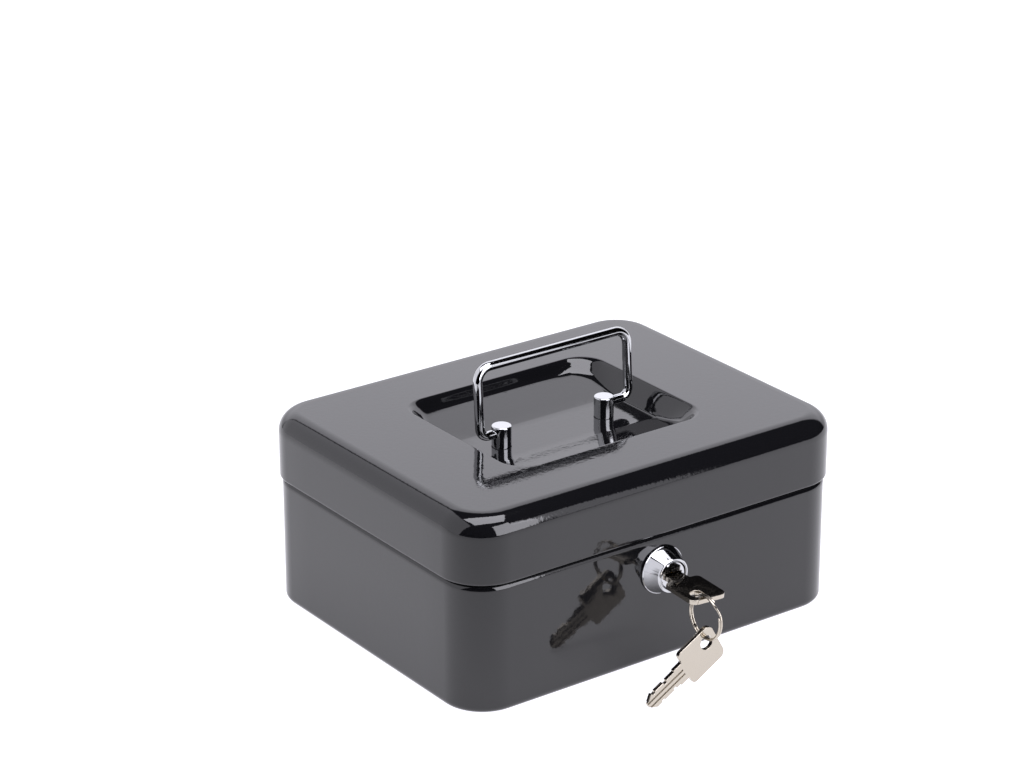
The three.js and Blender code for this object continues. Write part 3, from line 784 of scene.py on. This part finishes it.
def build_lock():
    place = at_lock()
    back = build_housing(place)
    build_core(place, back)
    refined("lock_nut", "zinc_steel", "hexagon_nut", 0.3 * MM)
    refined("lock_cam", "zinc_steel", "flat_cam", 0.2 * MM)
    refined("cam_screw", "zinc_steel", "round_head_screw", 0.15 * MM)
    for wafer in WAFERS:
        refined(wafer, "brass", f"brass_{wafer}", 0.08 * MM)


# ---- Keys and ring ----
# A key in millimetres, with its hole at the origin and its tip towards +Y
KEY_HOLE = 3.25
BOW_WIDTH, BOW_LENGTH, BOW_CORNER = 18.6, 19.8, 3.2
BOW_START = -5.4
BOW_END = BOW_START + BOW_LENGTH
KEY_AXIS = BOW_WIDTH / 2 - 6.4  # the blade's middle, to the right of the hole
COLLAR, BLADE, TIP = 4.6, 3.8, 1.0  # half widths
BLADE_START = BOW_END + 5
KEY_TIP = BLADE_START + 17.4
TAPER = 3.4


def notch(side, start, depth):
    """Corners of a cut in the blade, up its right edge (side 1) or down its left edge (side -1)"""
    edge, floor = KEY_AXIS + side * BLADE, KEY_AXIS + side * (BLADE - depth)
    spots = ((edge, 0, 0.15), (floor, 0.4, 0.2), (floor, 1.5, 0.2), (edge, 1.9, 0.15))
    return [(x, BLADE_START + start + along, radius) for x, along, radius in spots][::side]


def key_outline():
    """Corners of the key as (x, y, radius)"""
    left, right = KEY_AXIS - BOW_WIDTH / 2, KEY_AXIS + BOW_WIDTH / 2
    inside, outside, shoulder, point = 0.6, 0.5, 0.3, 0.5  # corner radii
    return [
        (left, BOW_START, BOW_CORNER),
        (right, BOW_START, BOW_CORNER),
        (right, BOW_END, BOW_CORNER),
        (KEY_AXIS + COLLAR, BOW_END, inside),
        (KEY_AXIS + COLLAR, BLADE_START, outside),
        (KEY_AXIS + BLADE, BLADE_START, shoulder),
        *notch(1, 2.2, 1.0),
        *notch(1, 9.4, 0.7),
        (KEY_AXIS + BLADE, KEY_TIP - TAPER, point),
        (KEY_AXIS + TIP, KEY_TIP, point),
        (KEY_AXIS - TIP, KEY_TIP, point),
        (KEY_AXIS - BLADE, KEY_TIP - TAPER, point),
        *notch(-1, 11.6, 0.8),
        *notch(-1, 4.8, 1.2),
        (KEY_AXIS - BLADE, BLADE_START, shoulder),
        (KEY_AXIS - COLLAR, BLADE_START, outside),
        (KEY_AXIS - COLLAR, BOW_END, inside),
        (left, BOW_END, BOW_CORNER),
    ]


def filleted(corners):
    """Points of an outline whose corners (x, y, radius) are rounded"""
    points = []
    count = len(corners)
    share = 0.45  # of an edge that one corner may take
    for i, (x, y, radius) in enumerate(corners):
        here = Vector((x, y))
        before = Vector(corners[i - 1][:2]) - here
        after = Vector(corners[(i + 1) % count][:2]) - here
        half = before.angle(after) / 2
        tangent = min(radius / math.tan(half), share * before.length, share * after.length)
        radius = tangent * math.tan(half)
        first, last = here + before.normalized() * tangent, here + after.normalized() * tangent
        centre = here + (before.normalized() + after.normalized()).normalized() * (
            radius / math.sin(half)
        )
        steps = 8 if radius > 1 else 3
        start = (first - centre).angle_signed(last - centre)
        for k in range(steps + 1):
            points.append(centre + Matrix.Rotation(-start * k / steps, 2) @ (first - centre))
    return points


def plate(outlines, thickness, edge):
    """A flat plate with holes, from closed outlines in millimetres, as a bmesh in metres"""
    curve = bpy.data.curves.new("plate", "CURVE")
    curve.dimensions = "2D"
    curve.fill_mode = "BOTH"
    curve.extrude = thickness / 2 - edge
    curve.bevel_depth = edge
    curve.bevel_resolution = 2
    curve.offset = -edge
    for outline in outlines:
        spline = curve.splines.new("POLY")
        spline.points.add(len(outline) - 1)
        for point, (x, y) in zip(spline.points, outline):
            point.co = (x * MM, y * MM, 0, 1)
        spline.use_cyclic_u = True
    holder = bpy.data.objects.new("plate", curve)
    bpy.context.scene.collection.objects.link(holder)
    bpy.context.view_layer.update()
    graph = bpy.context.evaluated_depsgraph_get()
    mesh = bpy.data.meshes.new_from_object(holder.evaluated_get(graph), depsgraph=graph)
    shape = bmesh.new()
    shape.from_mesh(mesh)
    bmesh.ops.remove_doubles(shape, verts=shape.verts, dist=0.001 * MM)
    bpy.data.objects.remove(holder)
    bpy.data.curves.remove(curve)
    bpy.data.meshes.remove(mesh)
    return shape


def build_key(sizes, name, body, node, place):
    sides = 40
    turns = [2 * math.pi * i / sides for i in range(sides)]
    hole = [(KEY_HOLE * math.cos(t), KEY_HOLE * math.sin(t)) for t in turns]
    shape = plate([filleted(key_outline()), hole], sizes.key_thickness, 0.12 * MM)
    key = piece_from(shape, name, body, "nickel", [node])
    # two milled grooves along the blade, on both faces
    cutter = bmesh.new()
    face = sizes.key_thickness / 2
    middle, half_width, depth, beyond = 1.2, 0.45, 0.45, 1.0
    for offset in (-middle, middle):
        for bottom in (face - depth * MM, -face - beyond * MM):
            left, right = KEY_AXIS + offset - half_width, KEY_AXIS + offset + half_width
            block(
                cutter,
                (left * MM, (BOW_END + beyond) * MM, bottom),
                (right * MM, (KEY_TIP + beyond) * MM, bottom + (beyond + depth) * MM),
            )
    carve(key, cutter)
    key.data.transform(place)
    key.data.update()


def build_keys(sizes):
    # the key in the lock is pushed in to its collar, and tips down a little about a point
    # in the keyway
    lock = centre_of("lock_housing")
    droop = Matrix.Rotation(math.radians(2.5), 4, "X")
    held = 8.7 * MM
    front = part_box("lock_plug")[0].y
    inserted = (
        Matrix.Translation(Vector((lock.x, 0, lock.z)))
        @ KEY_ROLL
        @ Matrix.Translation(Vector((0, front - 0.3 * MM + held, 0)))
        @ droop
        @ Matrix.Translation(Vector((-KEY_AXIS * MM, -BLADE_START * MM - held, 0)))
    )
    build_key(sizes, "key_in_the_lock", "key", "key_in_lock", inserted)
    # the spare key hangs from the ring's lowest point and leans until its tip clears the table
    middle = centre_of("split_ring")
    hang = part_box("split_ring")[0].z + sizes.ring_wire / 2
    half_pair = math.hypot(2.1, 1.0) / 2 * MM  # half the diagonal of the ring's two turns
    play = KEY_HOLE * MM - half_pair - 0.3 * MM
    lowest = hang - play - 0.5 * MM
    leans = []
    for x, y in ((KEY_AXIS + TIP, KEY_TIP), (KEY_AXIS + BLADE, KEY_TIP - TAPER)):
        reach = math.hypot(x, y) * MM
        leans.append(math.atan2(x, y) + math.acos(min(1, lowest / reach)))
    lean = max(leans)
    hung = (
        Matrix.Translation(Vector((middle.x, middle.y, hang)))
        @ Matrix.Rotation(lean, 4, "Y")
        @ Matrix.Translation(Vector((play * math.sin(lean), 0, -play * math.cos(lean))))
        @ Matrix.Rotation(-math.pi / 2, 4, "X")
    )
    build_key(sizes, "spare_key_on_ring", "spare", "spare_key", hung)


def build_ring(sizes):
    """A split ring: two turns of wire side by side, with a short step from one to the other"""
    low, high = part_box("split_ring")
    middle = centre_of("split_ring")
    wire = sizes.ring_wire
    radius = (high.z - low.z) / 2 - wire / 2
    apart = (high.x - low.x) - wire - 0.02 * MM
    split = math.radians(140)
    # in turns of the ring: where the wire starts after the split, its length and half the step
    start, wound, step = 0.06, 1.88, 0.055
    points = []
    count = 260
    for i in range(count + 1):
        turn = start + wound * i / count
        t = min(max((turn - 1 + step) / (2 * step), 0), 1)
        shift = apart * (t * t * (3 - 2 * t) - 0.5)
        around = split + 2 * math.pi * turn
        points.append(
            middle + Vector((shift, radius * math.cos(around), radius * math.sin(around)))
        )
    shape = tube(points, wire / 2, 14)
    piece_from(shape, "wound_split_ring", "ring", "ring_steel", ["split_ring"])


# ---- Stage ----
CAMERA_PLACE = Vector((-0.7980, -1.0646, 0.6503))
CAMERA_AZIMUTH = math.radians(-36.074)
CAMERA_ELEVATION = math.radians(22.396)
CAMERA_ROLL = math.radians(0.0915)
CAMERA_LENS = 115.27
CAMERA_SENSOR = 36


def build_camera():
    data = bpy.data.cameras.new("camera")
    data.lens = CAMERA_LENS
    data.sensor_width = CAMERA_SENSOR
    data.clip_end = 50
    camera = bpy.data.objects.new("camera", data)
    bpy.context.scene.collection.objects.link(camera)
    turn = Matrix.Rotation(CAMERA_AZIMUTH, 4, "Z")
    tilt = Matrix.Rotation(math.pi / 2 - CAMERA_ELEVATION, 4, "X")
    camera.matrix_world = (
        Matrix.Translation(CAMERA_PLACE) @ turn @ tilt @ Matrix.Rotation(-CAMERA_ROLL, 4, "Z")
    )
    bpy.context.scene.camera = camera


def from_angles(azimuth, elevation):
    """A direction from degrees around Z and degrees above level"""
    around, above = math.radians(azimuth), math.radians(elevation)
    level = math.cos(above)
    return Vector((level * math.cos(around), level * math.sin(around), math.sin(above)))


def softbox(name, azimuth, elevation, width, height, radiance):
    """A flat light that faces the box from an azimuth and elevation, all angles in degrees"""
    distance = 1.6  # metres
    data = bpy.data.lights.new(name, "AREA")
    data.shape = "RECTANGLE"
    data.size = 2 * distance * math.tan(math.radians(width / 2))
    data.size_y = 2 * distance * math.tan(math.radians(height / 2))
    data.energy = radiance * math.pi * data.size * data.size_y
    data.color = linear(bpy.context.scene.cash_box_colours.light)[:3]
    lamp = bpy.data.objects.new(name, data)
    bpy.context.scene.collection.objects.link(lamp)
    towards = from_angles(azimuth, elevation)
    lamp.location = towards * distance + Vector((0, 0, LID_HIGH.z))
    lamp.rotation_euler = towards.to_track_quat("Z", "Y").to_euler()
    lamp.visible_camera = False


def build_stage(colours):
    build_camera()
    # the paper ends a short way towards the viewer, square to the line of sight, and lies just
    # below the box. Its reach is in metres
    shape = bmesh.new()
    near, far, side = -0.48, 2.2, 1.8
    corners = [(-side, near), (side, near), (side, far), (-side, far)]
    shape.faces.new([shape.verts.new((x, y, 0)) for x, y in corners])
    mesh = bpy.data.meshes.new("floor")
    shape.to_mesh(mesh)
    shape.free()
    floor = bpy.data.objects.new("floor", mesh)
    floor.rotation_euler.z = CAMERA_AZIMUTH
    floor.location.z = -0.2 * MM
    bpy.context.scene.collection.objects.link(floor)
    paper, tree, shader, place = new_finish(
        "pale_backing_paper",
        Base_Color=linear(colours.floor),
        Roughness=0.9,
        Specular_IOR_Level=0.0,
        Emission_Color=linear(colours.light),
    )
    # its glow falls off towards the viewer
    along = add_node(tree, "ShaderNodeSeparateXYZ", {}, {"Vector": place}).outputs["Y"]
    glow = add_node(
        tree,
        "ShaderNodeMapRange",
        {"From Min": -0.34, "From Max": -0.14, "To Min": 0.55, "To Max": 1.05},
        {"Value": along},
    )
    tree.links.new(glow.outputs["Result"], shader.inputs["Emission Strength"])
    mesh.materials.append(paper)
    build_world()
    # name, azimuth, elevation, width, height and radiance
    softbox("overhead_softbox", -102, 78, 57, 38, 7.0)
    softbox("front_softbox", -78.5, 18, 36, 47, 6.0)
    softbox("front_softbox_spill", -58, 12, 5, 30, 1.6)
    softbox("left_panel", 147, 25, 84, 70, 1.35)
    bpy.context.scene.view_settings.view_transform = "Standard"


def build_world():
    """White for the camera. The box sees a backdrop: a wide disc that glows, and dark elsewhere"""
    world = bpy.data.worlds.new("studio")
    bpy.context.scene.world = world
    world.use_nodes = True
    tree = world.node_tree
    tree.nodes.clear()
    ray = add_node(tree, "ShaderNodeLightPath", {})
    place = add_node(tree, "ShaderNodeTexCoord", {})
    azimuth, half_angle, shade = 52, 50, 0.04
    facing = add_node(
        tree,
        "ShaderNodeVectorMath",
        {"operation": "DOT_PRODUCT", 1: from_angles(azimuth, 0)},
        {0: place.outputs["Generated"]},
    ).outputs["Value"]
    edge = math.cos(math.radians(half_angle))
    disc = add_node(
        tree,
        "ShaderNodeMapRange",
        {"From Min": edge - shade, "From Max": edge + shade, "interpolation_type": "SMOOTHSTEP"},
        {"Value": facing},
    )
    height = add_node(
        tree, "ShaderNodeSeparateXYZ", {}, {"Vector": place.outputs["Generated"]}
    ).outputs["Z"]
    # the disc is brighter above the horizon than at it
    glow = add_node(
        tree,
        "ShaderNodeMapRange",
        {"From Min": 0.14, "From Max": 0.34, "To Min": 1.15, "To Max": 1.85},
        {"Value": height},
    )
    level = add_node(
        tree,
        "ShaderNodeMath",
        {"operation": "MULTIPLY"},
        {0: disc.outputs["Result"], 1: glow.outputs["Result"]},
    )
    seen = add_node(tree, "ShaderNodeBackground", {"Color": (1, 1, 1, 1), "Strength": 1.0})
    lights = add_node(
        tree,
        "ShaderNodeBackground",
        {"Color": linear(bpy.context.scene.cash_box_colours.light)},
        {"Strength": level.outputs[0]},
    )
    mixed = add_node(tree, "ShaderNodeMixShader", {}, {0: ray.outputs["Is Camera Ray"]})
    tree.links.new(lights.outputs[0], mixed.inputs[1])
    tree.links.new(seen.outputs[0], mixed.inputs[2])
    add_node(tree, "ShaderNodeOutputWorld", {}, {"Surface": mixed.outputs[0]})


# ---- Operators ----
class CASHBOX_OT_stage(bpy.types.Operator):
    """Add the camera, the floor and the lights"""

    bl_idname = "cashbox.stage"
    bl_label = "Stage"

    def execute(self, context):
        build_stage(context.scene.cash_box_colours)
        return {"FINISHED"}


class CASHBOX_OT_case(bpy.types.Operator):
    """Build the pressed case with its shoulder and neck"""

    bl_idname = "cashbox.case"
    bl_label = "Case"

    def execute(self, context):
        build_case(context.scene.cash_box_sizes)
        return {"FINISHED"}


class CASHBOX_OT_lid(bpy.types.Operator):
    """Build the pressed lid with its hem and sunk panel"""

    bl_idname = "cashbox.lid"
    bl_label = "Lid"

    def execute(self, context):
        build_lid(context.scene.cash_box_sizes)
        return {"FINISHED"}


class CASHBOX_OT_bail(bpy.types.Operator):
    """Build the wire bail, its turned posts and their washers"""

    bl_idname = "cashbox.bail"
    bl_label = "Bail and posts"

    def execute(self, context):
        build_posts(context.scene.cash_box_sizes)
        build_bail(context.scene.cash_box_sizes)
        for side in ("left", "right"):
            refined(f"post_washer_{side}", "zinc_steel", f"rivet_washer_{side}")
        return {"FINISHED"}


class CASHBOX_OT_hinges(bpy.types.Operator):
    """Build the two butt hinges at the back"""

    bl_idname = "cashbox.hinges"
    bl_label = "Hinges"

    def execute(self, context):
        for side in ("left", "right"):
            refined(f"hinge_leaf_case_{side}", "black_enamel", f"case_hinge_leaf_{side}")
            refined(f"hinge_leaf_lid_{side}", "black_enamel", f"lid_hinge_leaf_{side}")
            refined(f"hinge_pin_{side}", "zinc_steel", f"headed_hinge_pin_{side}")
        return {"FINISHED"}


class CASHBOX_OT_lock(bpy.types.Operator):
    """Build the cam lock: bezel and barrel, core, nut, cam, screw and wafers"""

    bl_idname = "cashbox.lock"
    bl_label = "Lock"

    def execute(self, context):
        build_lock()
        refined("strike_bracket", "zinc_steel", "bent_strike", 0.25 * MM)
        return {"FINISHED"}


class CASHBOX_OT_keys(bpy.types.Operator):
    """Build the two keys and the split ring"""

    bl_idname = "cashbox.keys"
    bl_label = "Keys and ring"

    def execute(self, context):
        build_keys(context.scene.cash_box_sizes)
        build_ring(context.scene.cash_box_sizes)
        return {"FINISHED"}


class CASHBOX_OT_tray(bpy.types.Operator):
    """Build the coin tray and the angle strips that carry it"""

    bl_idname = "cashbox.tray"
    bl_label = "Coin tray"

    def execute(self, context):
        refined("coin_tray", "tray_plastic", "moulded_coin_tray", 0.4 * MM)
        for side in ("left", "right"):
            refined(f"tray_rest_{side}", "zinc_steel", f"tray_angle_{side}")
        return {"FINISHED"}


class CASHBOX_PT_panel(bpy.types.Panel):
    """Lists the steps that build the cash box"""

    bl_idname = "CASHBOX_PT_panel"
    bl_label = "Cash box"
    bl_space_type = "VIEW_3D"
    bl_region_type = "UI"
    bl_category = "Cash box"

    def draw(self, context):
        for operator in OPERATORS:
            self.layout.operator(operator.bl_idname)
        for name in CashBoxSizes.__annotations__:
            self.layout.prop(context.scene.cash_box_sizes, name)
        for name in CashBoxColours.__annotations__:
            self.layout.prop(context.scene.cash_box_colours, name)


OPERATORS = (
    CASHBOX_OT_stage,
    CASHBOX_OT_case,
    CASHBOX_OT_lid,
    CASHBOX_OT_bail,
    CASHBOX_OT_hinges,
    CASHBOX_OT_lock,
    CASHBOX_OT_keys,
    CASHBOX_OT_tray,
)
CLASSES = (CashBoxSizes, CashBoxColours, *OPERATORS, CASHBOX_PT_panel)


def register():
    for cls in CLASSES:
        bpy.utils.register_class(cls)
    bpy.types.Scene.cash_box_sizes = bpy.props.PointerProperty(type=CashBoxSizes)
    bpy.types.Scene.cash_box_colours = bpy.props.PointerProperty(type=CashBoxColours)


def unregister():
    del bpy.types.Scene.cash_box_colours
    del bpy.types.Scene.cash_box_sizes
    for cls in reversed(CLASSES):
        bpy.utils.unregister_class(cls)


def main():
    register()
    bpy.ops.cashbox.stage()
    bpy.ops.cashbox.case()
    bpy.ops.cashbox.lid()
    bpy.ops.cashbox.bail()
    bpy.ops.cashbox.hinges()
    bpy.ops.cashbox.lock()
    bpy.ops.cashbox.keys()
    bpy.ops.cashbox.tray()


if __name__ == "__main__":
    main()
